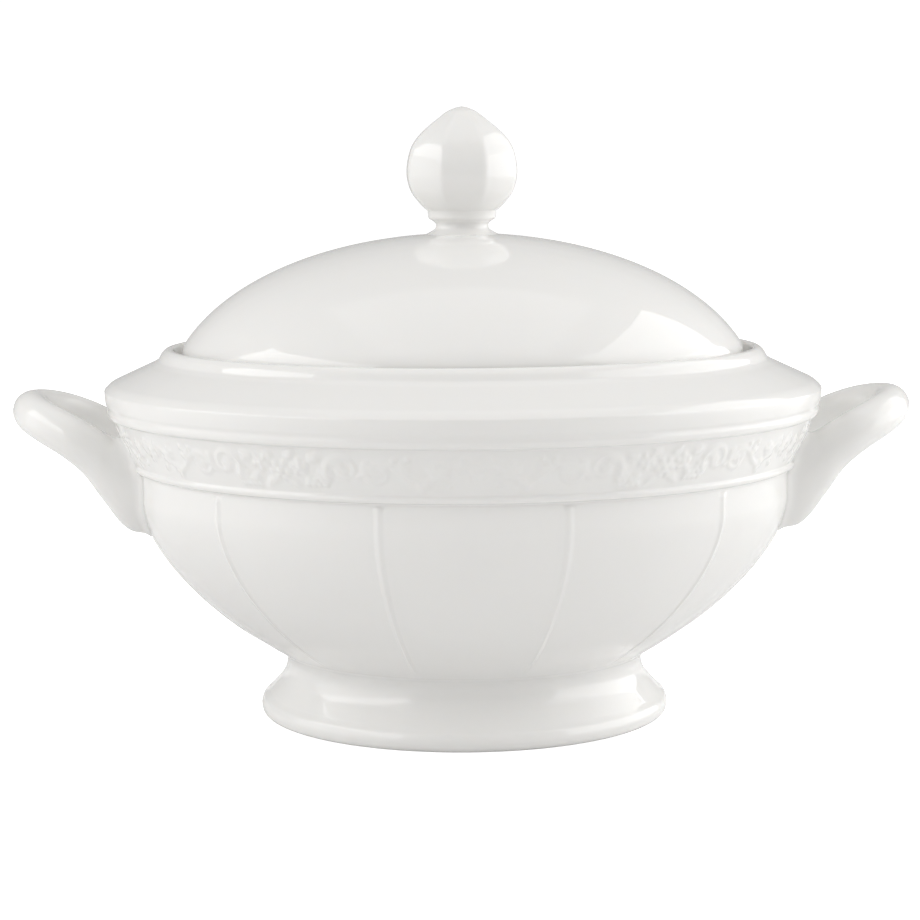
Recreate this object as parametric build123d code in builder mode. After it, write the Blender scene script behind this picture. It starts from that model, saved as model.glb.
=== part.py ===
"""Round footed soup tureen with a lift-off domed lid, in glazed porcelain.

The tureen stands on its foot: Z is the axis of the bowl, pointing up, and Z = 0 is the
table.  The two loop handles lie on the X axis.  All sizes are in millimetres.
"""

import math
import os

from build123d import *

# ---- walls and clearances ----
bowl_wall = 4.0
lid_wall = 4.0
lid_seat_gap = 0.25  # under the lid's edge
lid_edge_gap = 3.0  # between the lid's edge and the gallery
flange_gap = 1.5  # between the lid's flange and the mouth

# ---- belly: a full curve from the foot to the widest place ----
belly_radius = 110.0
belly_depth = 75.0
belly_fullness = 1.62  # 2 is a plain ellipse, less is flatter towards the foot
belly_base_height = 1.0  # where the curve would close, inside the foot
underside_height = 12.0
underside_rise = 2.2
arch_share = 0.6  # where the arch under the bowl is fixed, as a share of its radius
belly_points_count = 9

# ---- foot ----
neck_radius = 60.3
neck_straight = 4.5  # below the belly
foot_flare = 9.0
foot_cove_out = 0.25  # the cove's middle, as a share of the flare and of its height
foot_cove_up = 0.64
foot_rim_height = 6.0
foot_rim_bulge = 0.7
foot_edge_round = 1.2
foot_ring_width = 8.8
foot_wall = 7.3
foot_trim_margin = 1.0

# ---- border ridge, relief band and collar, each above the last ----
belly_collar_height = 5.4
border_projection = 2.2
border_height = 3.0
border_slope = 0.6
band_foot_projection = 1.3
band_top_projection = 6.6
band_height = 13.2
collar_projection = 10.0
collar_bead_height = 3.6
collar_cove_depth = 0.9
collar_cove_height = 3.2
collar_height = 12.4
collar_softness = 0.6  # how far the beads' round edges fall back

# ---- shoulder and the gallery that holds the lid ----
shoulder_start_inset = 2.0
shoulder_start_rise = 2.2
shoulder_reach = 18.1
shoulder_rise = 9.4
shoulder_fillet = 1.7
shoulder_fillet_drop = 0.5
seat_ledge_inset = 2.0
inner_collar_ease = 1.0
gallery_roll = 5.0
gallery_depth = 3.4
seat_width = 7.4
seat_thickness = 4.8

# ---- raised ribs down the belly ----
rib_count = 12
rib_first_angle = 15.0
rib_height = 0.7
rib_angle = 1.1  # width of a rib, as an angle about the axis
rib_bedding = 2.0
rib_foot_gap = 0.4
rib_handle_gap = 1.0
handle_reach_angle = 25.0  # ribs nearer than this to the handles' axis stop below the roots

# ---- lid ----
dome_height = 58.5
dome_overrun = 6.1  # how far the dome's curve would run past the lid's edge
lid_edge_height = 5.8
lid_edge_inset = 1.0
lid_edge_round = 1.6
lid_edge_fullness = 0.65
dome_shares = [0.0, 0.3, 0.55, 0.75]  # radii where the dome's curve is fixed
inner_dome_shares = [0.7, 0.4, 0.0]
flange_depth = 7.0
flange_wall = 4.0

# ---- knob, measured up from where its base flange meets the dome ----
knob_radius = 18.6
knob_flange_radius = 13.2
knob_flange_height = 0.6
knob_bedding = 1.5
knob_waist_radius = 8.8
knob_waist_height = 3.1
knob_collar_radius = 11.4
knob_collar_start = 5.5
knob_collar_end = 8.2
knob_widest_height = 21.2
knob_height = 42.8
knob_waist_ease = 0.9
bud_below_share = (0.905, 0.52)  # outline below the widest place: radius, height
bud_above_shares = [(0.835, 0.43), (0.445, 0.8)]

# ---- handles: sections along one leg, from inside the wall to the middle of the bend ----
# each is (out from the belly, up from the border, half span, tall, wide, climb, turn),
# with the climb and the turn of the leg's line in degrees
handle_leg = [
    (-10.0, 0.6, 24.5, 28.6, 15.0, 0.0, 0.0),
    (-0.5, 1.0, 25.0, 28.6, 15.0, 2.0, 3.0),
    (6.0, 5.2, 25.8, 20.0, 14.0, 14.0, 4.0),
    (11.0, 10.4, 26.2, 15.2, 13.4, 27.0, 0.0),
    (18.2, 15.6, 25.6, 13.8, 13.0, 28.0, 14.0),
    (26.3, 19.6, 21.2, 13.2, 12.8, 25.0, 44.0),
    (32.2, 21.9, 12.6, 12.8, 12.6, 23.0, 68.0),
    (34.8, 22.8, 0.0, 12.6, 12.6, 22.0, 90.0),
]

# ---- heights, from the foot up ----
belly_height = belly_base_height + belly_depth
neck_share = (1 - (neck_radius / belly_radius) ** belly_fullness) ** (1 / belly_fullness)
neck_top = belly_height - belly_depth * neck_share
neck_height = neck_top - neck_straight
border_bottom = belly_height + belly_collar_height
border_top = border_bottom + border_height
band_top = border_top + band_height
lower_bead_top = band_top + collar_bead_height
collar_cove_top = lower_bead_top + collar_cove_height
collar_top = band_top + collar_height
seat_height = collar_top + shoulder_rise
gallery_crest = seat_height + gallery_depth

# ---- radii, from the belly out and back in to the mouth ----
foot_radius = neck_radius + foot_flare
foot_inner_radius = foot_radius - foot_ring_width
border_radius = belly_radius + border_projection
collar_radius = belly_radius + collar_projection
cove_radius = collar_radius - collar_cove_depth
gallery_outer_radius = collar_radius - shoulder_reach
roll_radius = gallery_roll / 2
crest_radius = gallery_outer_radius - roll_radius
gallery_inner_radius = gallery_outer_radius - gallery_roll
mouth_radius = gallery_inner_radius - seat_width

# ---- lid, from the gallery that it sits in ----
lid_edge_radius = gallery_inner_radius - lid_edge_gap
lid_underside = seat_height + lid_seat_gap
flange_radius = mouth_radius - flange_gap
flange_inner_radius = flange_radius - flange_wall
dome_radius = lid_edge_radius + dome_overrun
dome_edge_radius = lid_edge_radius - lid_edge_inset
dome_edge_share = math.sqrt(1 - (dome_edge_radius / dome_radius) ** 2)
dome_centre_height = lid_underside + lid_edge_height - dome_height * dome_edge_share


def belly_curve(wall_out):
    """Points up the belly, from just inside the neck to the widest place, offset outwards."""
    radius = belly_radius + wall_out
    depth = belly_depth + wall_out
    start_radius = neck_radius - foot_wall if wall_out < 0 else neck_radius
    start = math.acos((start_radius / radius) ** (belly_fullness / 2))
    points = []
    for step in range(belly_points_count):
        angle = start * (1 - step / (belly_points_count - 1))
        out = radius * math.cos(angle) ** (2 / belly_fullness)
        down = depth * math.sin(angle) ** (2 / belly_fullness)
        points.append((out, belly_height - down))
    return points


def belly_spline(wall_out):
    """The belly's curve as one smooth line, upright where the belly is widest."""
    points = belly_curve(wall_out)
    radius = belly_radius + wall_out
    depth = belly_depth + wall_out
    start = math.acos((points[0][0] / radius) ** (belly_fullness / 2))
    power = 2 / belly_fullness - 1
    run = radius * math.cos(start) ** power * math.sin(start)
    rise = depth * math.sin(start) ** power * math.cos(start)
    return Spline(*points, tangents=[(run, rise), (0.0, 1.0)])


def dome_point(radius, half_width, height):
    """Point on the dome's elliptical curve at a given radius."""
    share = math.sqrt(1 - (radius / half_width) ** 2)
    return (radius, dome_centre_height + height * share)


# ---- the bowl's closed outer form, used again to trim what stands on it ----
with BuildPart() as outer_form:
    with BuildSketch(Plane.XZ) as outer_sketch:
        with BuildLine() as outer_line:
            belly = belly_spline(0.0)
            underside = ThreePointArc(
                (0, underside_height),
                (neck_radius * arch_share, underside_height + underside_rise),
                belly @ 0,
            )
            band = Polyline(
                belly @ 1,
                (belly_radius, border_bottom - border_slope),
                (border_radius, border_bottom),
                (border_radius, border_top),
                (belly_radius + band_foot_projection, border_top + border_slope),
                (belly_radius + band_top_projection, band_top),
            )
            lower_bead = ThreePointArc(
                band @ 1,
                (collar_radius - collar_softness, band_top + collar_bead_height / 2),
                (cove_radius, lower_bead_top),
            )
            collar_cove = ThreePointArc(
                lower_bead @ 1,
                (cove_radius - collar_softness / 2, lower_bead_top + collar_cove_height / 2),
                (collar_radius - collar_softness, collar_cove_top),
            )
            collar_corner = ThreePointArc(
                collar_cove @ 1,
                (collar_radius, (collar_cove_top + collar_top) / 2 + collar_softness),
                (collar_radius - shoulder_start_inset, collar_top + shoulder_start_rise),
            )
            shoulder = Polyline(
                collar_corner @ 1,
                (gallery_outer_radius + shoulder_fillet, seat_height - shoulder_fillet_drop),
                (gallery_outer_radius, gallery_crest - roll_radius),
            )
            roll = ThreePointArc(
                shoulder @ 1,
                (crest_radius, gallery_crest),
                (gallery_inner_radius, gallery_crest - roll_radius),
            )
            closing = Polyline(
                roll @ 1,
                (gallery_inner_radius, seat_height),
                (0, seat_height),
                (0, underside_height),
            )
        make_face()
    revolve(axis=Axis.Z)

# ---- one rib: a thin slice of the belly standing proud of it ----
with BuildPart() as whole_rib:
    with BuildSketch(Plane.XZ) as rib_sketch:
        with BuildLine() as rib_line:
            rib_outside = belly_spline(rib_height)
            rib_inside = belly_spline(-rib_bedding)
            rib_top = Polyline(
                rib_outside @ 1,
                (belly_radius + rib_height, border_bottom),
                (belly_radius - rib_bedding, border_bottom),
                rib_inside @ 1,
            )
            rib_end = Line(rib_inside @ 0, rib_outside @ 0)
        make_face()
    revolve(axis=Axis.Z, revolution_arc=rib_angle)
    with BuildSketch(Plane.XY) as neck_sketch:
        Circle(neck_radius + rib_foot_gap)
    extrude(amount=belly_height, mode=Mode.SUBTRACT)

# ---- the ribs that run into a handle stop just below its root ----
handle_root_bottom = border_bottom + handle_leg[0][1] - handle_leg[0][3] / 2
with BuildPart() as short_rib:
    add(whole_rib.part)
    split(bisect_by=Plane.XY.offset(handle_root_bottom - rib_handle_gap), keep=Keep.BOTTOM)

# ---- bowl ----
with BuildPart() as bowl:
    add(outer_form.part)
    for rib in range(rib_count):
        rib_centre = rib_first_angle + rib * 360 / rib_count
        handle_share = abs(math.cos(math.radians(rib_centre)))
        beside_handle = handle_share > math.cos(math.radians(handle_reach_angle))
        with PolarLocations(0, 1, start_angle=rib_centre - rib_angle / 2):
            add(short_rib.part if beside_handle else whole_rib.part)
    with BuildSketch(Plane.XZ) as inside_sketch:
        with BuildLine() as inside_line:
            inner_belly = belly_spline(-bowl_wall)
            inner_floor = underside_height + bowl_wall
            floor_curve = ThreePointArc(
                (0, inner_floor),
                ((inner_belly @ 0).X * arch_share, inner_floor + underside_rise),
                inner_belly @ 0,
            )
            inner_shoulder = Polyline(
                inner_belly @ 1,
                (belly_radius - bowl_wall, border_bottom),
                (belly_radius + band_top_projection - bowl_wall, band_top),
                (collar_radius - bowl_wall - inner_collar_ease, collar_top - bowl_wall),
                (collar_radius - bowl_wall - shoulder_reach / 3, collar_top),
                (gallery_outer_radius - seat_ledge_inset, seat_height - seat_thickness),
                (mouth_radius, seat_height - seat_thickness),
                (mouth_radius, gallery_crest),
                (0, gallery_crest),
                (0, inner_floor),
            )
        make_face()
    revolve(axis=Axis.Z, mode=Mode.SUBTRACT)
bowl.part.label = "bowl"

# ---- foot ----
with BuildPart() as foot:
    with BuildSketch(Plane.XZ) as foot_sketch:
        with BuildLine() as foot_line:
            foot_under = Line((foot_inner_radius, 0), (foot_radius - foot_edge_round, 0))
            foot_edge = ThreePointArc(
                foot_under @ 1,
                (foot_radius - foot_edge_round / 3, foot_edge_round / 3),
                (foot_radius, foot_edge_round),
            )
            foot_rim = ThreePointArc(
                foot_edge @ 1,
                (foot_radius, foot_rim_height / 2),
                (foot_radius - foot_rim_bulge, foot_rim_height),
            )
            foot_cove = ThreePointArc(
                foot_rim @ 1,
                (
                    neck_radius + foot_flare * foot_cove_out,
                    foot_rim_height + (neck_height - foot_rim_height) * foot_cove_up,
                ),
                (neck_radius, neck_height),
            )
            foot_top = Polyline(
                foot_cove @ 1,
                (neck_radius, belly_height),
                (neck_radius - foot_wall, belly_height),
                (neck_radius - foot_wall, underside_height),
                (foot_inner_radius, 0),
            )
        make_face()
    revolve(axis=Axis.Z)
    with BuildSketch(Plane.XZ) as above_neck_sketch:
        with BuildLine() as above_neck_line:
            Polyline(
                (0, neck_top),
                (neck_radius + foot_trim_margin, neck_top),
                (neck_radius + foot_trim_margin, belly_height + foot_trim_margin),
                (0, belly_height + foot_trim_margin),
                close=True,
            )
        make_face()
    revolve(axis=Axis.Z, mode=Mode.SUBTRACT)
    add(outer_form.part, mode=Mode.SUBTRACT)
foot.part.label = "foot"

# ---- lid ----
inner_dome_radius = dome_radius - lid_wall
inner_dome_height = dome_height - lid_wall
with BuildPart() as lid:
    with BuildSketch(Plane.XZ) as lid_sketch:
        with BuildLine() as lid_line:
            edge_slope = dome_height * dome_edge_radius / (dome_radius**2 * dome_edge_share)
            dome_outside = Spline(
                *[dome_point(dome_radius * share, dome_radius, dome_height) for share in dome_shares],
                dome_point(dome_edge_radius, dome_radius, dome_height),
                tangents=[(1.0, 0.0), (1.0, -edge_slope)],
            )
            lid_edge = ThreePointArc(
                dome_outside @ 1,
                (lid_edge_radius, lid_underside + lid_edge_height * lid_edge_fullness),
                (lid_edge_radius - lid_edge_round, lid_underside),
            )
            flange_top = dome_point(flange_inner_radius, inner_dome_radius, inner_dome_height)
            flange = Polyline(
                lid_edge @ 1,
                (flange_radius, lid_underside),
                (flange_radius, lid_underside - flange_depth),
                (flange_inner_radius, lid_underside - flange_depth),
                flange_top,
            )
            dome_inside = Spline(
                flange_top,
                *[
                    dome_point(inner_dome_radius * share, inner_dome_radius, inner_dome_height)
                    for share in inner_dome_shares
                ],
                tangents=[(-0.9, 1.0), (-1.0, 0.0)],
            )
            lid_axis_line = Line(dome_inside @ 1, dome_outside @ 0)
        make_face()
    revolve(axis=Axis.Z)
lid.part.label = "lid"

# ---- knob: a bud on a small collar, a waist and a base flange ----
knob_base = dome_point(knob_flange_radius, dome_radius, dome_height)[1]
knob_widest = knob_base + knob_widest_height
bud_below = knob_widest_height - knob_collar_end
bud_above = knob_height - knob_widest_height
with BuildPart() as knob:
    with BuildSketch(Plane.XZ) as knob_sketch:
        with BuildLine() as knob_line:
            knob_under = Polyline(
                (0, knob_base + knob_height),
                (0, knob_base - knob_bedding),
                (knob_flange_radius, knob_base - knob_bedding),
                (knob_flange_radius, knob_base + knob_flange_height),
            )
            knob_waist = ThreePointArc(
                knob_under @ 1,
                (knob_waist_radius + knob_waist_ease, knob_base + knob_waist_height / 2),
                (knob_waist_radius, knob_base + knob_waist_height),
            )
            knob_collar = Polyline(
                knob_waist @ 1,
                (knob_collar_radius, knob_base + knob_collar_start),
                (knob_collar_radius, knob_base + knob_collar_end),
            )
            knob_bud = Spline(
                knob_collar @ 1,
                (knob_radius * bud_below_share[0], knob_widest - bud_below * bud_below_share[1]),
                (knob_radius, knob_widest),
                *[(knob_radius * out, knob_widest + bud_above * up) for out, up in bud_above_shares],
                (0, knob_base + knob_height),
                tangents=[(1.0, 0.75), (-1.0, 0.45)],
            )
        make_face()
    revolve(axis=Axis.Z)
    add(lid.part, mode=Mode.SUBTRACT)
knob.part.label = "knob"


def leg_plane(section):
    """Plane of a section across the near leg, square to the line of the leg."""
    out, up, span, tall, wide, climb, turn = section
    climb = math.radians(climb)
    turn = math.radians(turn)
    along = (math.cos(climb) * math.cos(turn), math.sin(turn), math.sin(climb) * math.cos(turn))
    across = (-math.cos(climb) * math.sin(turn), math.cos(turn), -math.sin(climb) * math.sin(turn))
    return Plane(origin=(belly_radius + out, -span, border_bottom + up), x_dir=across, z_dir=along)


def past_the_bend(section):
    """The same section on the far leg, so that the bend stays round across the middle."""
    out, up, span, tall, wide, climb, turn = section
    return (out, up, -span, tall, wide, climb, 180 - turn)


# ---- handles: one leg as far as the middle of the bend, and its mirror image ----
bend_sections = [past_the_bend(section) for section in reversed(handle_leg[-3:-1])]
with BuildPart() as handle_right:
    for section in handle_leg + bend_sections:
        with BuildSketch(leg_plane(section)):
            Ellipse(section[4] / 2, section[3] / 2)
    loft()
    split(bisect_by=Plane.XZ, keep=Keep.TOP)
    add(outer_form.part, mode=Mode.SUBTRACT)
    mirror(about=Plane.XZ)
handle_right.part.label = "handle_right"

with BuildPart() as handle_left:
    with PolarLocations(0, 1, start_angle=180):
        add(handle_right.part)
handle_left.part.label = "handle_left"

os.makedirs("parts", exist_ok=True)
for piece in (bowl, foot, handle_left, handle_right, lid, knob):
    export_step(piece.part, f"parts/{piece.part.label}.step")
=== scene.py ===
"""Round footed soup tureen with a lift-off domed lid, in white glazed porcelain.

Every piece is turned, pressed or drawn out here in millimetres about the bowl's axis, in the
frame's own axes, and takes the place of the frame's node that it stands for.
"""

import math
from collections import namedtuple

import bpy
import numpy as np
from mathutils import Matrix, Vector


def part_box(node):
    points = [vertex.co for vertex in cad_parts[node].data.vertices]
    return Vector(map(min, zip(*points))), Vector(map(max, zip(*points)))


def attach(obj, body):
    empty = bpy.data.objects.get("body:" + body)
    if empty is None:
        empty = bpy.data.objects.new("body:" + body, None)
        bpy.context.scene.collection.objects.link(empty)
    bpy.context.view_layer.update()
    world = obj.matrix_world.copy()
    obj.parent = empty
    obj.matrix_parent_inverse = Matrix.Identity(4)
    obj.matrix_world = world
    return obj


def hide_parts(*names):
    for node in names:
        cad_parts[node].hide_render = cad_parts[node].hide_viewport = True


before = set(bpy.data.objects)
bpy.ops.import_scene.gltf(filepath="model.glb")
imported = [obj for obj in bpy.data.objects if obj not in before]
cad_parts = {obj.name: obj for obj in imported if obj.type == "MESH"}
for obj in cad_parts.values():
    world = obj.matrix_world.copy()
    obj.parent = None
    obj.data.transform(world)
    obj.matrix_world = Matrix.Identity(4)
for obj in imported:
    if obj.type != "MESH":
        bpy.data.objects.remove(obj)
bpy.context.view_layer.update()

MM = 0.001
hair = 0.05  # every piece keeps this far inside the frame's box
Extent = namedtuple("Extent", "radius bottom top")


def extent(node):
    """A frame node's reach along X, its lowest and its highest point, in millimetres."""
    low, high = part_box(node)
    return Extent(high.x / MM, low.z / MM, high.z / MM)


# ---- sizes read from the frame ----
collar_radius = extent("bowl").radius - hair
gallery_crest = extent("bowl").top
foot_radius = extent("foot").radius
lid_edge_radius = extent("lid").radius - hair
flange_bottom = extent("lid").bottom
dome_top = extent("lid").top
knob_top = extent("knob").top

# ---- bowl, in millimetres ----
bowl_wall = 4.0
belly_radius = 110.0
belly_depth = 75.0
belly_height = 76.0
belly_fullness = 1.59  # 2 is a plain ellipse, less is slimmer low down
neck_radius = 60.3
underside_height = 12.0
floor_height = underside_height + bowl_wall
arch_rise = 2.2  # the underside and the floor swell by this much
arch_share = 0.6  # at this share of the way out from the axis
border_bottom = 84.3
border_radius = 112.2
border_height = 3.3
band_foot = (111.7, 87.8)
band_top = (117.0, 101.2)
collar_edge_height = 110.8
shoulder_radius = 118.0
shoulder_height = 112.8
rim_foot_radius = 104.0
rim_foot_height = 119.2
rim_crest = gallery_crest + 1.3
gallery_inner_radius = 96.9
seat_height = 119.4
seat_thickness = 4.8
mouth_radius = 89.5
foot_wall = 7.3

# ---- lid and knob ----
lid_clearance = 0.25
lid_underside = seat_height + lid_clearance
lid_wall = 4.0
flange_radius = 88.0
flange_wall = 4.0
dome_radius = 100.0
dome_height = 57.9
dome_fullness = 2.05  # 2 is a plain ellipse, more is flatter on top
crown_drop = 0.6  # the crown is this much lower than the frame's
dome_centre_height = dome_top - crown_drop - dome_height
knob_drop = 0.9  # the knob is this much lower than the frame's
knob_bedding = 0.5
knob_base = dome_top - knob_bedding - knob_drop
knob_tip = knob_top - knob_drop
knob_facets = 8
facet_softness = 0.62

# ---- columns about the axis: every ring uses a set of these fine steps ----
fine_count = 1440
plain_step = 8
knob_step = 12
fine = np.arange(fine_count)
plain = fine[::plain_step]
facet_columns = fine[::knob_step]

# ---- ribs down the belly ----
rib_spacing = 30.0
rib_first = 15.0
rib_half_width = 0.85
rib_height = 0.42
rib_margin = 1.6  # the fine columns reach this many half widths from a rib's middle
rib_fade = (23.0, 33.0)  # heights between which a rib rises out of the belly
rib_root_fade = (63.0, 66.0)  # the ribs beside the handles die away below their roots
from_rib = np.abs((fine * 360 / fine_count - rib_first + rib_spacing / 2) % rib_spacing - rib_spacing / 2)
ribbed = fine[(fine % plain_step == 0) | (from_rib < rib_half_width * rib_margin)]

# ---- garland: one repeat runs along a sixth of the band ----
repeats = 6
repeat_columns = fine_count // repeats
repeat_length = math.radians(360 / repeats) * (band_foot[0] + band_top[0]) / 2
garland_rows = 28
garland_depth = 0.88
scroll_steps = 70
vine_steps = 170
vine_start = 25.0
band_slope = (band_top[0] - band_foot[0], band_top[1] - band_foot[1])
band_length = math.hypot(*band_slope)
band_lean = (band_slope[1] / band_length, -band_slope[0] / band_length)

# ---- handles: sections along the near leg, from inside the wall to the middle of the bend ----
# each is (out, up, half span, tall, wide, climb, turn), the last two in degrees
handle_leg = [
    (100.0, 80.6, 24.5, 31.0, 15.0, 0.0, 0.0),
    (109.5, 81.2, 25.0, 31.0, 15.0, 2.0, 3.0),
    (116.0, 85.9, 25.8, 21.0, 14.0, 14.0, 4.0),
    (121.0, 91.1, 26.2, 15.6, 13.4, 27.0, 0.0),
    (128.2, 96.3, 25.6, 14.0, 13.0, 28.0, 14.0),
    (136.3, 100.3, 21.2, 13.3, 12.8, 25.0, 44.0),
    (142.2, 102.6, 12.6, 12.9, 12.6, 23.0, 68.0),
    (144.8, 103.5, 0.0, 12.7, 12.6, 22.0, 90.0),
]
handle_steps = 24
handle_rings = 84
handle_columns = 48
root_depth = 1.4  # how far a leg reaches into the bowl's wall
root_fillet = 1.3  # how far the glaze swells the leg in the corner
root_fillet_reach = 3.2
root_crowding = 0.11  # how much the rings crowd together at the two roots


# ---------------------------------------------------------------- outlines
def smooth_step(value, low, high):
    """0 below low, 1 above high, and a soft curve between."""
    share = np.clip((value - low) / (high - low), 0.0, 1.0)
    return share * share * (3 - 2 * share)


def rounded(corners, steps=5):
    """Outline through (radius, height, rounding) corners, each eased into a curve."""
    most = 0.48  # the largest share of a side that one rounding takes
    points = []
    for place, (radius, height, rounding) in enumerate(corners):
        here = np.array((radius, height))
        if rounding == 0 or place in (0, len(corners) - 1):
            points.append(tuple(here))
            continue
        back = np.array(corners[place - 1][:2]) - here
        ahead = np.array(corners[place + 1][:2]) - here
        back_length, ahead_length = np.linalg.norm(back), np.linalg.norm(ahead)
        cut = min(rounding, most * back_length, most * ahead_length)
        start, end = here + back / back_length * cut, here + ahead / ahead_length * cut
        for step in range(steps + 1):
            t = step / steps
            points.append(tuple((1 - t) ** 2 * start + 2 * t * (1 - t) * here + t * t * end))
    return points


def steadied(points, reach=0.35):
    """The outline with extra points beside the ends of long straight runs, to keep them flat."""
    steady = [points[0]]
    for a, b in zip(points, points[1:]):
        a, b = np.array(a), np.array(b)
        length = np.linalg.norm(b - a)
        if length > 4 * reach:
            steady += [tuple(a + (b - a) * reach / length), tuple(b + (a - b) * reach / length)]
        steady.append(tuple(b))
    return steady


def curve_through(points, steps):
    """Smooth outline that passes through each of the points."""
    knots = [points[0], *points, points[-1]]
    drawn = []
    for a, b, c, d in zip(knots, knots[1:], knots[2:], knots[3:]):
        a, b, c, d = (np.array(knot, float) for knot in (a, b, c, d))
        for step in range(steps):
            t = step / steps
            bend = (2 * a - 5 * b + 4 * c - d) * t * t + (3 * b - a - 3 * c + d) * t**3
            drawn.append(tuple(b + ((c - a) * t + bend) / 2))
    return drawn + [tuple(points[-1])]


def belly_outline(wall_out, start_radius, count):
    """Points up the belly's full curve, offset outwards, from the neck to the widest place."""
    radius, depth = belly_radius + wall_out, belly_depth + wall_out
    start = math.acos((start_radius / radius) ** (belly_fullness / 2))
    outline = []
    for step in range(count + 1):
        angle = start * (1 - step / count)
        out = radius * math.cos(angle) ** (2 / belly_fullness)
        outline.append((out, belly_height - depth * math.sin(angle) ** (2 / belly_fullness)))
    return outline


def arch_outline(centre_height, radius, end_height, count=14):
    """A shallow arch from the axis out to the belly's curve."""
    drop = end_height - centre_height
    swell = (arch_rise - drop * arch_share**2) / (arch_share * (1 - arch_share))
    outline = []
    for step in range(count):
        t = step / count
        outline.append((radius * t, centre_height + drop * t * t + swell * t * (1 - t)))
    return outline


def dome_outline(half_width, height, start_radius, end_radius, count):
    """Points along the dome's full curve between two radii."""
    start = math.asin((start_radius / half_width) ** (dome_fullness / 2))
    end = math.asin((end_radius / half_width) ** (dome_fullness / 2))
    outline = []
    for step in range(count + 1):
        angle = start + (end - start) * step / count
        radius = half_width * math.sin(angle) ** (2 / dome_fullness)
        rise = height * math.cos(angle) ** (2 / dome_fullness)
        outline.append((radius, dome_centre_height + rise))
    return outline


# ---------------------------------------------------------------- turning
Ring = namedtuple("Ring", "radius height columns push lean", defaults=(plain, None, (1.0, 0.0)))


def ring_points(ring):
    """The ring's vertices in metres, and its columns; a ring on the axis is a single tip."""
    if ring.radius < MM:
        return np.array([(0.0, 0.0, ring.height * MM)]), None
    angles = ring.columns * 2 * math.pi / fine_count
    push = np.zeros(len(angles)) if ring.push is None else ring.push
    out = (ring.radius + push * ring.lean[0]) * MM
    up = (ring.height + push * ring.lean[1]) * MM
    return np.column_stack((out * np.cos(angles), out * np.sin(angles), up)), ring.columns


def faces_between(below, above):
    """Faces that join two rings of vertices, when one ring's columns are among the other's."""
    first_below, columns_below = below
    first_above, columns_above = above
    if columns_below is None or columns_above is None:
        tip = first_below if columns_below is None else first_above
        first, columns = (first_above, columns_above) if columns_below is None else below
        around = [(first + i, first + (i + 1) % len(columns)) for i in range(len(columns))]
        return [(tip, b, a) if columns_below is None else (a, b, tip) for a, b in around]
    coarse = columns_below if len(columns_below) <= len(columns_above) else columns_above
    at_below = np.searchsorted(columns_below, coarse)
    at_above = np.searchsorted(columns_above, coarse)
    faces = []
    for i in range(len(coarse)):
        last = i == len(coarse) - 1
        end_below = len(columns_below) if last else at_below[i + 1]
        end_above = len(columns_above) if last else at_above[i + 1]
        lower = [first_below + k % len(columns_below) for k in range(at_below[i], end_below + 1)]
        upper = [first_above + k % len(columns_above) for k in range(at_above[i], end_above + 1)]
        faces.append(lower + upper[::-1])
    return faces


def turned(name, rings, closed=False):
    """A piece turned on the bowl's axis from a list of rings."""
    points, faces, starts = [], [], []
    first = 0
    for ring in rings:
        ring_vertices, columns = ring_points(ring)
        starts.append((first, columns))
        points.append(ring_vertices)
        first += len(ring_vertices)
    for below, above in zip(starts, starts[1:]):
        faces += faces_between(below, above)
    if closed:
        faces += faces_between(starts[-1], starts[0])
    return made(name, np.concatenate(points), faces)


def made(name, points, faces):
    """A smooth-shaded mesh object of these vertices and faces."""
    mesh = bpy.data.meshes.new(name)
    mesh.from_pydata([tuple(point) for point in points], [], [tuple(map(int, face)) for face in faces])
    mesh.validate()
    mesh.polygons.foreach_set("use_smooth", [True] * len(mesh.polygons))
    mesh.update()
    piece = bpy.data.objects.new(name, mesh)
    bpy.context.scene.collection.objects.link(piece)
    return piece


def plain_rings(outline):
    """Rings without ribs or relief, one for each point of an outline."""
    return [Ring(radius, height) for radius, height in outline]


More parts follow.
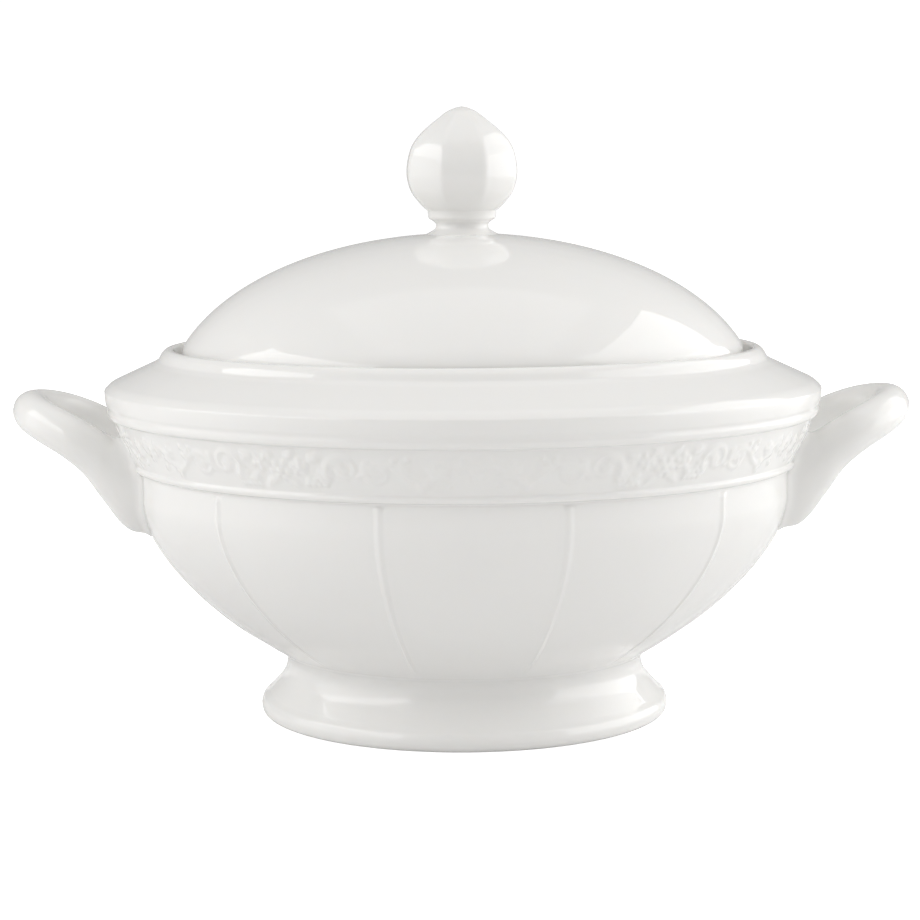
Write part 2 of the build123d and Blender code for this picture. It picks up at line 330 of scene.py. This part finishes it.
# ---------------------------------------------------------------- garland
class Garland:
    """Raised ornament over one repeat of the band, in millimetres.

    u runs along the band from the middle of the repeat, and v up it from the band's middle.
    """

    def __init__(self):
        along = np.arange(repeat_columns) * repeat_length / repeat_columns
        up = (np.arange(garland_rows) + 0.5) * band_length / garland_rows - band_length / 2
        self.u, self.v = np.meshgrid(along, up)
        self.height = np.zeros_like(self.u)

    def local(self, u, v, turn=0.0):
        """Coordinates about a place on the band, turned by an angle in degrees."""
        du = (self.u - u + repeat_length / 2) % repeat_length - repeat_length / 2
        dv = self.v - v
        c, s = math.cos(math.radians(turn)), math.sin(math.radians(turn))
        return du * c + dv * s, dv * c - du * s

    def raise_to(self, height):
        """Lift the ground to a new form's height wherever the form stands above it."""
        self.height = np.maximum(self.height, height)

    def berry(self, u, v, radius, height):
        """A round bead."""
        a, b = self.local(u, v)
        self.raise_to(height * np.sqrt(np.clip(1 - (a * a + b * b) / radius**2, 0, 1)))

    def leaf(self, u, v, turn, length, width, height):
        """A pointed leaf growing from its base at (u, v), with a groove down its middle."""
        fullness, tip_width = 2.2, 1e-6
        vein_depth, vein_width = 0.55, 0.22
        a, b = self.local(u, v, turn)
        share = np.clip(a / length, 0, 1)
        half = width * np.sqrt(share) * (1 - share) * fullness + tip_width
        inside = np.clip(1 - np.abs(b) / half, 0, 1) * ((a > 0) & (a < length))
        vein = 1 - vein_depth * np.exp(-((b / vein_width) ** 2))
        self.raise_to(height * np.sqrt(inside) * vein)

    def rose(self, u, v, radius, petals, height, turn=0.0):
        """An open flower: rounded petals about a raised button, with a groove round it."""
        cleft = 0.45  # how far the petals part at the edge
        button, groove, groove_width, groove_depth = 0.34, 0.36, 0.14, 0.5
        a, b = self.local(u, v, turn)
        out = np.hypot(a, b)
        lobes = np.abs(np.cos(petals * np.arctan2(b, a) / 2))
        edge = radius * (1 - cleft + cleft * np.sqrt(lobes))
        petal = np.sqrt(np.clip(1 - (out / edge) ** 2, 0, 1)) * (cleft + (1 - cleft) * lobes)
        dish = 1 - groove_depth * np.exp(-(((out / radius - groove) / groove_width) ** 2))
        self.raise_to(height * petal * dish)
        self.berry(u, v, radius * button, height * 1.05)

    def stroke(self, points, width, height, tail=0.45):
        """A raised line through the points, thinning towards its end."""
        count = len(points)
        for place, (u, v) in enumerate(points):
            share = 1 - (1 - tail) * place / count
            a, b = self.local(u, v)
            self.raise_to(height * share * np.exp(-(a * a + b * b) / (width * share) ** 2))

    def scroll(self, u, v, radius, start, sweep, width, height):
        """A C-shaped scroll that curls in on itself, with a bead at its eye."""
        closing, quickening = 0.62, 1.6
        path = []
        for step in range(scroll_steps):
            t = step / (scroll_steps - 1)
            angle = math.radians(start + sweep * t)
            curl = radius * (1 - closing * t**quickening)
            path.append((u + curl * math.cos(angle), v + curl * math.sin(angle)))
        self.stroke(path, width, height)
        self.berry(*path[-1], 0.8, 0.6)


def facing(turn, side):
    """An angle as it is on this side of the repeat's middle, where the left mirrors the right."""
    return turn if side > 0 else 180 - turn


def add_spray(garland, side):
    """Flowers, leaves and two rows of berries beside the repeat's middle flower."""
    lean = 0.5 * side
    garland.rose(side * 6.6, 1.6 - lean, radius=3.3, petals=5, height=0.9, turn=20 * side)
    garland.rose(side * 14.6, lean - 1.6, radius=2.9, petals=6, height=0.8, turn=10)
    garland.rose(side * 12.2, 4.0 + lean, radius=1.9, petals=5, height=0.7)
    leaves = ((2.4, -3.0, -38), (2.4, 3.6, 50), (8.2, -2.0, -36), (9.6, 3.6, 20), (16.6, 2.2, 35))
    for along, up, turn in leaves:
        garland.leaf(side * along, up, facing(turn, side), length=5.0, width=1.8, height=0.75)
    for row in range(2):
        for place in range(4):
            along, up = 8.6 + place * 2.0 + row * 1.0, row * 1.8 - 5.0
            garland.berry(side * along, up + lean, radius=0.95, height=0.8)


def add_scrolls(garland, side):
    """Two scrolls back to back, the first with three leaves behind it, the second about a flower."""
    garland.scroll(side * 20.6, 0.1, 5.7, facing(205, side), -265 * side, width=1.0, height=0.85)
    for turn in (64, 20, -26):
        garland.leaf(side * 18.6, -0.4, facing(turn, side), length=4.2, width=1.5, height=0.65)
    garland.scroll(side * 31.4, 0.4, 4.7, facing(150, side), 230 * side, width=0.85, height=0.7)
    garland.rose(side * 31.2, 0.4, radius=2.5, petals=5, height=0.75)


def add_vine(garland, side):
    """A waving stem out to the end of the repeat, with pairs of leaves, berries and a flower."""
    wave_height, wave_start = 3.4, 0.5
    stem = []
    for step in range(vine_steps):
        t = step / (vine_steps - 1)
        along = vine_start + t * (repeat_length / 2 - vine_start)
        stem.append((side * along, wave_height * math.sin(t * 3.0 * math.pi - wave_start)))
    garland.stroke(stem, width=0.8, height=0.6, tail=0.85)
    for share, lean in ((0.06, 68), (0.20, -56), (0.36, 62), (0.52, -60), (0.68, 58), (0.84, -58)):
        u, v = stem[int(share * vine_steps)]
        for turn in (lean, lean * 0.25):
            garland.leaf(u, v, facing(turn, side), length=4.4, width=1.6, height=0.7)
    for along, up in ((36.2, 4.2), (38.4, 2.6), (40.4, 4.4), (43.6, -4.2), (45.6, -2.8), (56.0, 4.0)):
        garland.berry(side * along, up, radius=1.05, height=0.75)
    garland.rose(side * 48.4, 1.4, radius=2.6, petals=5, height=0.75, turn=30)
    garland.berry(side * 52.4, -3.8, radius=1.0, height=0.7)


def garland_heights():
    """The garland's raised height, row by row up the band, over all its repeats."""
    garland = Garland()
    for side in (-1, 1):
        add_spray(garland, side)
        add_scrolls(garland, side)
        add_vine(garland, side)
    garland.rose(0.0, -0.3, radius=4.2, petals=6, height=1.0)
    garland.rose(repeat_length / 2, 0.0, radius=2.8, petals=6, height=0.8)
    heights = garland.height * garland_depth
    # the glaze softens the relief: each place takes a quarter from each neighbour
    heights = (heights * 2 + np.roll(heights, 1, 1) + np.roll(heights, -1, 1)) / 4
    padded = np.pad(heights, ((1, 1), (0, 0)), mode="edge")
    heights = (padded[:-2] + 2 * padded[1:-1] + padded[2:]) / 4
    return np.tile(heights, (1, repeats))


# ---------------------------------------------------------------- bowl
def rib_push(height):
    """How far the ribs stand out of the belly at this height, column by column."""
    crest = np.cos(np.clip(from_rib[ribbed] / rib_half_width, 0, 1) * math.pi / 2) ** 2
    angle = np.radians(ribbed * 360 / fine_count)
    beside_handle = np.abs(np.cos(angle)) > math.cos(math.radians(rib_first + rib_spacing / 3))
    ending = np.where(beside_handle, 1 - smooth_step(height, *rib_root_fade), 1.0)
    return rib_height * crest * ending * smooth_step(height, *rib_fade)


def belly_rings(belly):
    """The belly's rings with its ribs, up its curve and then straight up to the border."""
    rings = []
    for place, (radius, height) in enumerate(belly):
        before, after = belly[max(place - 1, 0)], belly[min(place + 1, len(belly) - 1)]
        rise, run = after[1] - before[1], after[0] - before[0]
        length = math.hypot(rise, run)
        rings.append(Ring(radius, height, ribbed, rib_push(height), (rise / length, -run / length)))
    for height in np.linspace(belly_height, border_bottom - 0.6, 5)[1:]:
        rings.append(Ring(belly_radius, height, ribbed, rib_push(height)))
    return rings


def border_outline():
    """The raised border under the band."""
    return rounded([
        (belly_radius, border_bottom - 0.5, 0),
        (belly_radius + 0.05, border_bottom + 0.35, 0.5),
        (border_radius - 0.5, border_bottom + 0.95, 0.6),
        (border_radius, border_bottom + 2.1, 0.8),
        (band_foot[0] - 0.1, border_bottom + border_height - 0.2, 0.4),
        (band_foot[0], band_foot[1], 0),
    ])


def band_rings():
    """The band's rings with its garland, which dies away at the band's two edges."""
    edge = 0.07
    rings = []
    for row, heights in enumerate(garland_heights()):
        share = (row + 0.5) / garland_rows
        radius = band_foot[0] + band_slope[0] * share
        height = band_foot[1] + band_slope[1] * share
        fade = smooth_step(share, 0.0, edge) * (1 - smooth_step(share, 1 - edge, 1.0))
        rings.append(Ring(radius, height, fine, heights * fade, band_lean))
    return rings


def collar_outline():
    """Up the collar, in over the shoulder, into the gallery and down the inside of the wall."""
    return rounded([
        (band_top[0], band_top[1], 0),
        (band_top[0] + 0.15, band_top[1] + 0.35, 0.2),
        (collar_radius - 1.1, band_top[1] + 1.1, 0.6),
        (collar_radius - 0.75, band_top[1] + 2.6, 0.9),
        (collar_radius - 1.0, band_top[1] + 3.9, 0.8),
        (collar_radius - 0.45, band_top[1] + 5.0, 0.8),
        (collar_radius - 0.1, band_top[1] + 7.0, 1.2),
        (collar_radius, collar_edge_height, 0.45),
        (shoulder_radius, shoulder_height, 1.4),
        (rim_foot_radius, rim_foot_height, 0.7),
        (rim_foot_radius - 2.0, rim_foot_height + 1.2, 0.6),
        (rim_foot_radius - 3.1, rim_foot_height + 3.4, 0.8),
        (rim_foot_radius - 4.7, rim_crest, 0.9),
        (gallery_inner_radius + 0.1, rim_crest, 1.1),
        (gallery_inner_radius, seat_height, 0.9),
        (mouth_radius, seat_height, 1.0),
        (mouth_radius, seat_height - seat_thickness, 1.6),
        (gallery_inner_radius + 3.0, seat_height - seat_thickness, 4.0),
        (shoulder_radius - 8.0, shoulder_height - 1.8, 4.0),
        (shoulder_radius - 3.0, shoulder_height - 5.8, 5.0),
        (band_top[0] - 4.4, band_top[1] - 1.2, 6.0),
        (belly_radius - bowl_wall, border_bottom, 6.0),
        (belly_radius - bowl_wall, belly_height, 0),
    ], 4)


def make_bowl():
    """The bowl: arched underside, ribbed belly, border, garland, collar, shoulder and gallery."""
    belly = belly_outline(0.0, neck_radius, 40)
    inside = belly_outline(-bowl_wall, neck_radius - foot_wall, 30)[::-1]
    rings = plain_rings(arch_outline(underside_height, neck_radius, belly[0][1]))
    rings += belly_rings(belly)
    rings += plain_rings(border_outline())
    rings += band_rings()
    rings += plain_rings(steadied(collar_outline()))
    rings += plain_rings(inside[1:])
    rings += plain_rings(arch_outline(floor_height, *inside[-1])[::-1])
    return turned("porcelain_bowl", rings)


# ---------------------------------------------------------------- foot, lid and knob
def make_foot():
    """The flared foot ring, hollow inside, bedded a little into the underside of the bowl."""
    bedding = 0.6
    inner_radius = neck_radius - foot_wall
    belly_start = belly_outline(0.0, neck_radius, 1)[0][1]
    arch = arch_outline(underside_height, neck_radius, belly_start)
    arch_radii, arch_heights = zip(*arch, (neck_radius, belly_start))
    outside = rounded([
        (inner_radius, float(np.interp(inner_radius, arch_radii, arch_heights)) + bedding, 0),
        (inner_radius, underside_height - 0.6, 1.5),
        (foot_radius - 8.9, 1.0, 1.0),
        (foot_radius - 8.0, 0.0, 0.8),
        (foot_radius - 1.6, 0.0, 0.8),
        (foot_radius - 0.5, 1.1, 0.9),
        (foot_radius - hair, 3.4, 1.6),
        (foot_radius - 0.9, 5.7, 0.6),
        (foot_radius - 2.9, 7.3, 1.2),
    ])
    cove = curve_through([
        (foot_radius - 2.9, 7.4),
        (neck_radius + 3.9, 9.9),
        (neck_radius + 1.8, 12.4),
        (neck_radius + 0.5, 15.0),
        (neck_radius + 0.02, 17.6),
        (neck_radius + 0.2, 19.3),
        (neck_radius + 0.9, belly_start - 0.1),
        (neck_radius + 2.1, belly_start + 1.0),
        (neck_radius + 3.3, belly_start + 2.1),
    ], 4)
    return turned("porcelain_foot", plain_rings(steadied(outside)[:-1] + cove), closed=True)


def make_lid():
    """The domed lid with its rounded edge and the flange that finds the bowl's mouth."""
    dome_edge = lid_edge_radius - 1.0
    outside = dome_outline(dome_radius, dome_height, 0.0, dome_edge, 46)
    inner_radius, inner_height = dome_radius - lid_wall, dome_height - lid_wall
    flange_inner_radius = flange_radius - flange_wall
    inside = dome_outline(inner_radius, inner_height, flange_inner_radius, 0.0, 30)
    edge = rounded([
        outside[-1] + (0,),
        (lid_edge_radius, lid_underside + 4.2, 1.2),
        (lid_edge_radius, lid_underside + 1.6, 1.3),
        (lid_edge_radius - 1.5, lid_underside, 1.0),
        (flange_radius, lid_underside, 0.6),
        (flange_radius, flange_bottom, 1.2),
        (flange_inner_radius, flange_bottom, 1.2),
        (flange_inner_radius, inside[0][1] - 2.0, 2.0),
        inside[1] + (0,),
    ])
    outline = outside[:-1] + steadied(edge)[:-1] + inside[1:]
    return turned("porcelain_lid", plain_rings(outline[::-1]))


def make_knob():
    """The bud-shaped knob: soft facets over a collar, a waist and a flange bedded in the dome."""
    bud_start = knob_base + 8.2
    stem = rounded([
        (0.0, knob_base - 1.1, 0),
        (12.6, knob_base - 1.1, 0.2),
        (13.4, knob_base - 0.1, 0.5),
        (11.2, knob_base + 0.9, 0.6),
        (8.9, knob_base + 2.2, 1.4),
        (8.6, knob_base + 3.8, 1.0),
        (9.8, knob_base + 4.9, 0.5),
        (11.35, knob_base + 5.7, 0.7),
        (11.5, bud_start, 0),
    ], 4)
    bud = curve_through([
        (11.5, bud_start),
        (13.7, knob_base + 10.2),
        (16.8, knob_base + 14.2),
        (18.2, knob_base + 18.2),
        (18.5, knob_base + 21.4),
        (18.1, knob_base + 25.2),
        (16.8, knob_base + 29.6),
        (14.4, knob_base + 33.1),
        (11.3, knob_base + 36.1),
        (8.2, knob_base + 38.6),
        (4.9, knob_base + 41.1),
        (2.2, knob_base + 42.3),
        (0.0, knob_tip),
    ], 5)
    facet = 360 / knob_facets
    off_facet = np.radians((facet_columns * 360 / fine_count + facet / 2) % facet - facet / 2)
    swell = facet_softness * (1 / np.cos(off_facet) - 1)
    rings = [Ring(radius, height, facet_columns) for radius, height in stem]
    for radius, height in bud[1:]:
        shown = smooth_step(height, bud_start, knob_base + 13.0)
        shown *= 1 - smooth_step(height, knob_base + 37.2, knob_tip)
        rings.append(Ring(radius, height, facet_columns, radius * swell * shown))
    return turned("bud_knob", rings)


# ---------------------------------------------------------------- handles
def bowl_side_outline():
    """Radii and heights up the bowl's outside, from the foot to the shoulder."""
    outline = belly_outline(0.0, neck_radius, 60)
    outline += [
        (belly_radius, border_bottom),
        (border_radius, border_bottom + 1.0),
        (border_radius, border_bottom + 2.2),
        band_foot,
        band_top,
        (collar_radius - 1.0, band_top[1] + 1.4),
        (collar_radius, collar_edge_height),
        (shoulder_radius, shoulder_height),
    ]
    return np.array(outline).T


side_radii, side_heights = bowl_side_outline()


def bowl_side(height):
    """Radius of the bowl's outside at a height, or at each of many."""
    return np.interp(height, side_heights, side_radii)


def off_bowl(points):
    """How far each point stands out from the bowl's side."""
    return np.hypot(points[:, 0], points[:, 1]) - bowl_side(points[:, 2])


def handle_sections():
    """Centres of the oval sections along both legs, with the two half-axes of each."""
    far_leg = [(out, up, -span, tall, wide, climb, 180 - turn)
               for out, up, span, tall, wide, climb, turn in handle_leg[-2::-1]]
    drawn = np.array(curve_through(handle_leg + far_leg, handle_steps))
    out, up, span, tall, wide, climb, turn = drawn.T
    climb, turn = np.radians(climb), np.radians(turn)
    along = np.array((np.cos(climb) * np.cos(turn), np.sin(turn), np.sin(climb) * np.cos(turn))).T
    across = np.array((-np.cos(climb) * np.sin(turn), np.cos(turn), -np.sin(climb) * np.sin(turn))).T
    upward = np.cross(along, across)
    centres = np.array((out, -span, up)).T
    return centres, across * wide[:, None] / 2, upward * tall[:, None] / 2


def trimmed(line, spoke):
    """One line along the handle, cut inside the bowl's wall and swelled where it leaves it."""
    clear = off_bowl(line)
    outside = np.nonzero(clear > -root_depth)[0]
    first, last = outside[0], outside[-1]
    near = np.interp(-root_depth, clear[first - 1:first + 1], (first - 1, first))
    far = np.interp(-root_depth, clear[last:last + 2][::-1], (last + 1, last))
    share = np.linspace(0, 1, handle_rings)
    share = share - root_crowding * np.sin(2 * math.pi * share)
    at = near + (far - near) * share
    stations = np.arange(len(line))
    placed = np.array([np.interp(at, stations, line[:, axis]) for axis in range(3)]).T
    spread = np.array([np.interp(at, stations, spoke[:, axis]) for axis in range(3)]).T
    swelling = root_fillet * np.clip(1 - off_bowl(placed) / root_fillet_reach, 0, 1) ** 2
    return placed + spread / np.linalg.norm(spread, axis=1)[:, None] * swelling[:, None]


def handle_faces():
    """Faces around the handle from ring to ring, and the two fans that close its ends."""
    first_end, last_end = handle_rings * handle_columns, handle_rings * handle_columns + 1
    last_ring = (handle_rings - 1) * handle_columns
    faces = []
    for column in range(handle_columns):
        after = (column + 1) % handle_columns
        for ring in range(0, last_ring, handle_columns):
            a, b = ring + column, ring + after
            faces.append((a, b, b + handle_columns, a + handle_columns))
        faces.append((first_end, after, column))
        faces.append((last_end, last_ring + column, last_ring + after))
    return faces


def make_handle(name, side):
    """A loop handle, drawn along both legs and trimmed where it meets the bowl."""
    centres, half_wide, half_tall = handle_sections()
    lines = []
    for column in range(handle_columns):
        angle = 2 * math.pi * column / handle_columns
        spoke = half_wide * math.cos(angle) + half_tall * math.sin(angle)
        lines.append(trimmed(centres + spoke, spoke))
    grid = np.array(lines).transpose(1, 0, 2)
    ends = np.array([grid[0].mean(0), grid[-1].mean(0)])
    for end in ends:
        end[:2] *= (bowl_side(end[2]) - root_depth) / math.hypot(end[0], end[1])
    points = np.concatenate((grid.reshape(-1, 3), ends)) * MM
    points[:, :2] *= side
    return made(name, points, handle_faces())


# ---------------------------------------------------------------- shared finish effects
def group(name, inputs, outputs):
    """A shader node group with named sockets, and its input and output nodes."""
    tree = bpy.data.node_groups.new(name, "ShaderNodeTree")
    for label, kind, value in inputs:
        socket = tree.interface.new_socket(label, in_out="INPUT", socket_type=kind)
        socket.default_value = value
    for label, kind in outputs:
        tree.interface.new_socket(label, in_out="OUTPUT", socket_type=kind)
    return tree, tree.nodes.new("NodeGroupInput"), tree.nodes.new("NodeGroupOutput")


def maths(tree, operation, first, second):
    """A maths node on two sockets or numbers; gives its output."""
    node = tree.nodes.new("ShaderNodeMath")
    node.operation = operation
    for place, value in enumerate((first, second)):
        if isinstance(value, bpy.types.NodeSocket):
            tree.links.new(value, node.inputs[place])
        else:
            node.inputs[place].default_value = value
    return node.outputs[0]


def patches(tree, size, detail):
    """Soft noise on the porcelain itself, with patches of a size in metres."""
    place = tree.nodes.new("ShaderNodeTexCoord")
    noise = tree.nodes.new("ShaderNodeTexNoise")
    noise.inputs["Detail"].default_value = detail
    tree.links.new(place.outputs["Object"], noise.inputs["Vector"])
    tree.links.new(maths(tree, "DIVIDE", 1.0, size), noise.inputs["Scale"])
    return noise.outputs["Fac"]


def make_glaze_flow():
    """Height of the glaze: long waves left as it ran, with a finer ripple over them."""
    tree, given, result = group(
        "glaze flow",
        [
            ("Wave Length", "NodeSocketFloat", 0.03),
            ("Ripple Length", "NodeSocketFloat", 0.004),
            ("Ripple Share", "NodeSocketFloat", 0.06),
        ],
        [("Height", "NodeSocketFloat")],
    )
    waves = patches(tree, given.outputs["Wave Length"], 1.0)
    ripples = patches(tree, given.outputs["Ripple Length"], 2.0)
    fine_part = maths(tree, "MULTIPLY", ripples, given.outputs["Ripple Share"])
    tree.links.new(maths(tree, "ADD", waves, fine_part), result.inputs["Height"])
    return tree


def make_kiln_tone():
    """Colour of fired porcelain: two close tones that drift into each other in broad patches."""
    deepest = 0.7  # the most of the deep tone that a patch can have
    first_colour, second_colour, mixed_colour = 6, 7, 2  # a mix node's colour sockets
    tree, given, result = group(
        "kiln tone",
        [
            ("Light Tone", "NodeSocketColor", (0.8, 0.8, 0.8, 1)),
            ("Deep Tone", "NodeSocketColor", (0.7, 0.7, 0.7, 1)),
            ("Patch Size", "NodeSocketFloat", 0.05),
        ],
        [("Colour", "NodeSocketColor")],
    )
    share = maths(tree, "MULTIPLY", patches(tree, given.outputs["Patch Size"], 2.0), deepest)
    mix = tree.nodes.new("ShaderNodeMix")
    mix.data_type = "RGBA"
    tree.links.new(share, mix.inputs["Factor"])
    tree.links.new(given.outputs["Light Tone"], mix.inputs[first_colour])
    tree.links.new(given.outputs["Deep Tone"], mix.inputs[second_colour])
    tree.links.new(mix.outputs[mixed_colour], result.inputs["Colour"])
    return tree


glaze_flow = make_glaze_flow()
kiln_tone = make_kiln_tone()


# ---------------------------------------------------------------- finishes
def placed_group(tree, effect, **values):
    """The effect's group in this material, with its own values."""
    node = tree.nodes.new("ShaderNodeGroup")
    node.node_tree = effect
    for label, value in values.items():
        node.inputs[label.replace("_", " ").title()].default_value = value
    return node


def finish(name, tones, patch, wave, ripple, depth, roughness, specular=0.5):
    """A porcelain finish: tone, a surface that is never quite even, and its own gloss."""
    light, deep = tones
    material = bpy.data.materials.new(name)
    material.use_nodes = True
    tree = material.node_tree
    shader = tree.nodes["Principled BSDF"]
    tone = placed_group(tree, kiln_tone, light_tone=(*light, 1), deep_tone=(*deep, 1), patch_size=patch)
    tree.links.new(tone.outputs["Colour"], shader.inputs["Base Color"])
    flow = placed_group(tree, glaze_flow, wave_length=wave, ripple_length=ripple)
    bump = tree.nodes.new("ShaderNodeBump")
    bump.inputs["Strength"].default_value = 1.0
    bump.inputs["Distance"].default_value = depth
    tree.links.new(flow.outputs["Height"], bump.inputs["Height"])
    tree.links.new(bump.outputs["Normal"], shader.inputs["Normal"])
    gloss = tree.nodes.new("ShaderNodeMapRange")
    gloss.inputs["To Min"].default_value, gloss.inputs["To Max"].default_value = roughness
    tree.links.new(flow.outputs["Height"], gloss.inputs["Value"])
    tree.links.new(gloss.outputs["Result"], shader.inputs["Roughness"])
    shader.inputs["IOR"].default_value = 1.5
    shader.inputs["Specular IOR Level"].default_value = specular
    shader.inputs["Subsurface Weight"].default_value = 0.08
    shader.inputs["Subsurface Radius"].default_value = (1.0, 0.8, 0.6)
    shader.inputs["Subsurface Scale"].default_value = 0.002
    return material


glaze_tones = ((0.845, 0.84, 0.825), (0.82, 0.815, 0.80))
bare_tones = ((0.80, 0.78, 0.74), (0.74, 0.71, 0.66))
glaze_gloss = (0.03, 0.06)
bare_gloss = (0.6, 0.8)
bowl_glaze = finish("bowl_glaze", glaze_tones, 0.06, 0.034, 0.005, 0.00008, glaze_gloss)
lid_glaze = finish("lid_glaze", glaze_tones, 0.07, 0.040, 0.005, 0.00008, glaze_gloss)
trim_glaze = finish("trim_glaze", glaze_tones, 0.03, 0.016, 0.003, 0.00004, glaze_gloss)
bare_porcelain = finish("bare_porcelain", bare_tones, 0.012, 0.0012, 0.0004, 0.00004, bare_gloss, 0.3)


# ---------------------------------------------------------------- assembly
level = 0.02  # a face this close to a height lies flat on it


def on_seat(centre):
    """The lid's seat in the gallery, wiped clean of glaze before firing."""
    out = math.hypot(centre.x, centre.y)
    return abs(centre.z - seat_height) < level and mouth_radius + 1.0 < out < lid_edge_radius - 1.0


def under_lid_edge(centre):
    """The lid's resting face, wiped clean to match the seat."""
    out = math.hypot(centre.x, centre.y)
    return abs(centre.z - lid_underside) < level and flange_radius + 0.4 < out < lid_edge_radius


def under_foot(centre):
    """The ring that the tureen stood on in the kiln."""
    return centre.z < 0.25


def dressed(piece, body, node, glaze, bare=None):
    """Give a piece its finish and its place; bare picks the faces left without glaze."""
    piece.data.materials.append(glaze)
    if bare is not None:
        piece.data.materials.append(bare_porcelain)
        for face in piece.data.polygons:
            face.material_index = int(bare(face.center / MM))
    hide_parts(node)
    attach(piece, body)


dressed(make_bowl(), "bowl", "bowl", bowl_glaze, on_seat)
dressed(make_foot(), "bowl", "foot", trim_glaze, under_foot)
dressed(make_handle("handle_loop_right", 1), "bowl", "handle_right", trim_glaze)
dressed(make_handle("handle_loop_left", -1), "bowl", "handle_left", trim_glaze)
dressed(make_lid(), "lid", "lid", lid_glaze, under_lid_edge)
dressed(make_knob(), "lid", "knob", trim_glaze)


# ---------------------------------------------------------------- floor and light
floor_reach = 6.0
floor_glow = 0.7  # what the camera alone sees, so that the floor is as white as the room
room_seen = 1.05
room_tint = (1.0, 0.99, 0.975, 1)
room_front_low = 0.23
room_front_high = 0.73
room_back = 0.49


def make_floor():
    """A plain pale floor under the foot."""
    corners = [(-1, -1), (1, -1), (1, 1), (-1, 1)]
    floor = made("pale_floor", [(x * floor_reach, y * floor_reach, 0) for x, y in corners], [(0, 1, 2, 3)])
    material = bpy.data.materials.new("pale_paper")
    material.use_nodes = True
    tree = material.node_tree
    shader = tree.nodes["Principled BSDF"]
    shader.inputs["Base Color"].default_value = (0.85, 0.85, 0.85, 1)
    shader.inputs["Roughness"].default_value = 0.9
    shader.inputs["Specular IOR Level"].default_value = 0.1
    glow = tree.nodes.new("ShaderNodeEmission")
    glow.inputs["Strength"].default_value = floor_glow
    both = tree.nodes.new("ShaderNodeAddShader")
    tree.links.new(shader.outputs["BSDF"], both.inputs[0])
    tree.links.new(glow.outputs["Emission"], both.inputs[1])
    seen_apart(tree, shader.outputs["BSDF"], both.outputs["Shader"], tree.nodes["Material Output"])
    floor.data.materials.append(material)


def seen_apart(tree, lighting, seen, output):
    """Give a surface one shader as it lights the object, and another as the camera sees it."""
    path = tree.nodes.new("ShaderNodeLightPath")
    choice = tree.nodes.new("ShaderNodeMixShader")
    tree.links.new(path.outputs["Is Camera Ray"], choice.inputs["Fac"])
    tree.links.new(lighting, choice.inputs[1])
    tree.links.new(seen, choice.inputs[2])
    tree.links.new(choice.outputs["Shader"], output.inputs["Surface"])


def ramp(tree, value, start, end):
    """A map range node that takes a socket's value between two places; it still needs its results."""
    node = tree.nodes.new("ShaderNodeMapRange")
    node.inputs["From Min"].default_value = start
    node.inputs["From Max"].default_value = end
    tree.links.new(value, node.inputs["Value"])
    return node


def make_surroundings():
    """A white room that is dimmer low down on the side the object is seen from."""
    world = bpy.data.worlds.new("white_room")
    world.use_nodes = True
    tree = world.node_tree
    room = tree.nodes["Background"]
    room.inputs["Color"].default_value = room_tint
    seen = tree.nodes.new("ShaderNodeBackground")
    seen.inputs["Color"].default_value = (1, 1, 1, 1)
    seen.inputs["Strength"].default_value = room_seen
    place = tree.nodes.new("ShaderNodeTexCoord")
    axes = tree.nodes.new("ShaderNodeSeparateXYZ")
    tree.links.new(place.outputs["Generated"], axes.inputs["Vector"])
    front = ramp(tree, axes.outputs["Z"], 0.1, 0.6)
    front.inputs["To Min"].default_value = room_front_low
    front.inputs["To Max"].default_value = room_front_high
    whole = ramp(tree, axes.outputs["Y"], -0.8, 0.4)
    whole.inputs["To Max"].default_value = room_back
    tree.links.new(front.outputs["Result"], whole.inputs["To Min"])
    tree.links.new(whole.outputs["Result"], room.inputs["Strength"])
    seen_apart(tree, room.outputs["Background"], seen.outputs["Background"], tree.nodes["World Output"])
    bpy.context.scene.world = world


def soft_box(name, place, aim, width, height, strength):
    """A large soft light of a given brightness, facing the point it aims at."""
    light = bpy.data.lights.new(name, "AREA")
    light.shape = "RECTANGLE"
    light.size, light.size_y = width, height
    light.energy = strength * width * height * math.pi
    box = bpy.data.objects.new(name, light)
    box.location = place
    box.rotation_euler = (Vector(aim) - Vector(place)).to_track_quat("-Z", "Y").to_euler()
    bpy.context.scene.collection.objects.link(box)


make_floor()
make_surroundings()
soft_box("right_low_box", (1.15, 0.19, 0.30), (0.0, 0.19, 0.30), width=1.9, height=0.6, strength=2.20)
soft_box("right_high_box", (1.15, 0.19, 1.05), (0.0, 0.19, 0.75), width=1.9, height=0.9, strength=1.45)
soft_box("left_low_box", (-1.2, -0.6, 0.30), (0.0, -0.6, 0.30), width=2.0, height=0.6, strength=1.03)
soft_box("left_high_box", (-1.2, -0.6, 0.90), (0.0, -0.6, 0.70), width=2.0, height=0.6, strength=2.44)
soft_box("top_box", (0.0, 0.1, 1.8), (0.0, 0.0, 0.1), width=1.6, height=1.6, strength=0.40)


# ---------------------------------------------------------------- camera
camera_distance = 0.8203
camera_height = 0.1825
camera_turn = math.radians(-1.7)
camera_roll = math.radians(-0.3)
aim_point = Vector((-0.0011, 0.0, 0.0850))
lens_length = 95.34


def make_camera():
    """A camera about four fifths of a metre away, level with the middle of the knob."""
    view = bpy.data.cameras.new("camera")
    view.lens = lens_length
    view.sensor_width = 36.0
    view.clip_start = 0.01
    camera = bpy.data.objects.new("camera", view)
    aside, away = camera_distance * math.sin(camera_turn), camera_distance * math.cos(camera_turn)
    camera.location = (aside, -away, camera_height)
    camera.rotation_euler = (aim_point - camera.location).to_track_quat("-Z", "Y").to_euler()
    camera.rotation_euler.rotate_axis("Z", camera_roll)
    bpy.context.scene.collection.objects.link(camera)
    bpy.context.scene.camera = camera


make_camera()
bpy.context.scene.view_settings.view_transform = "Standard"
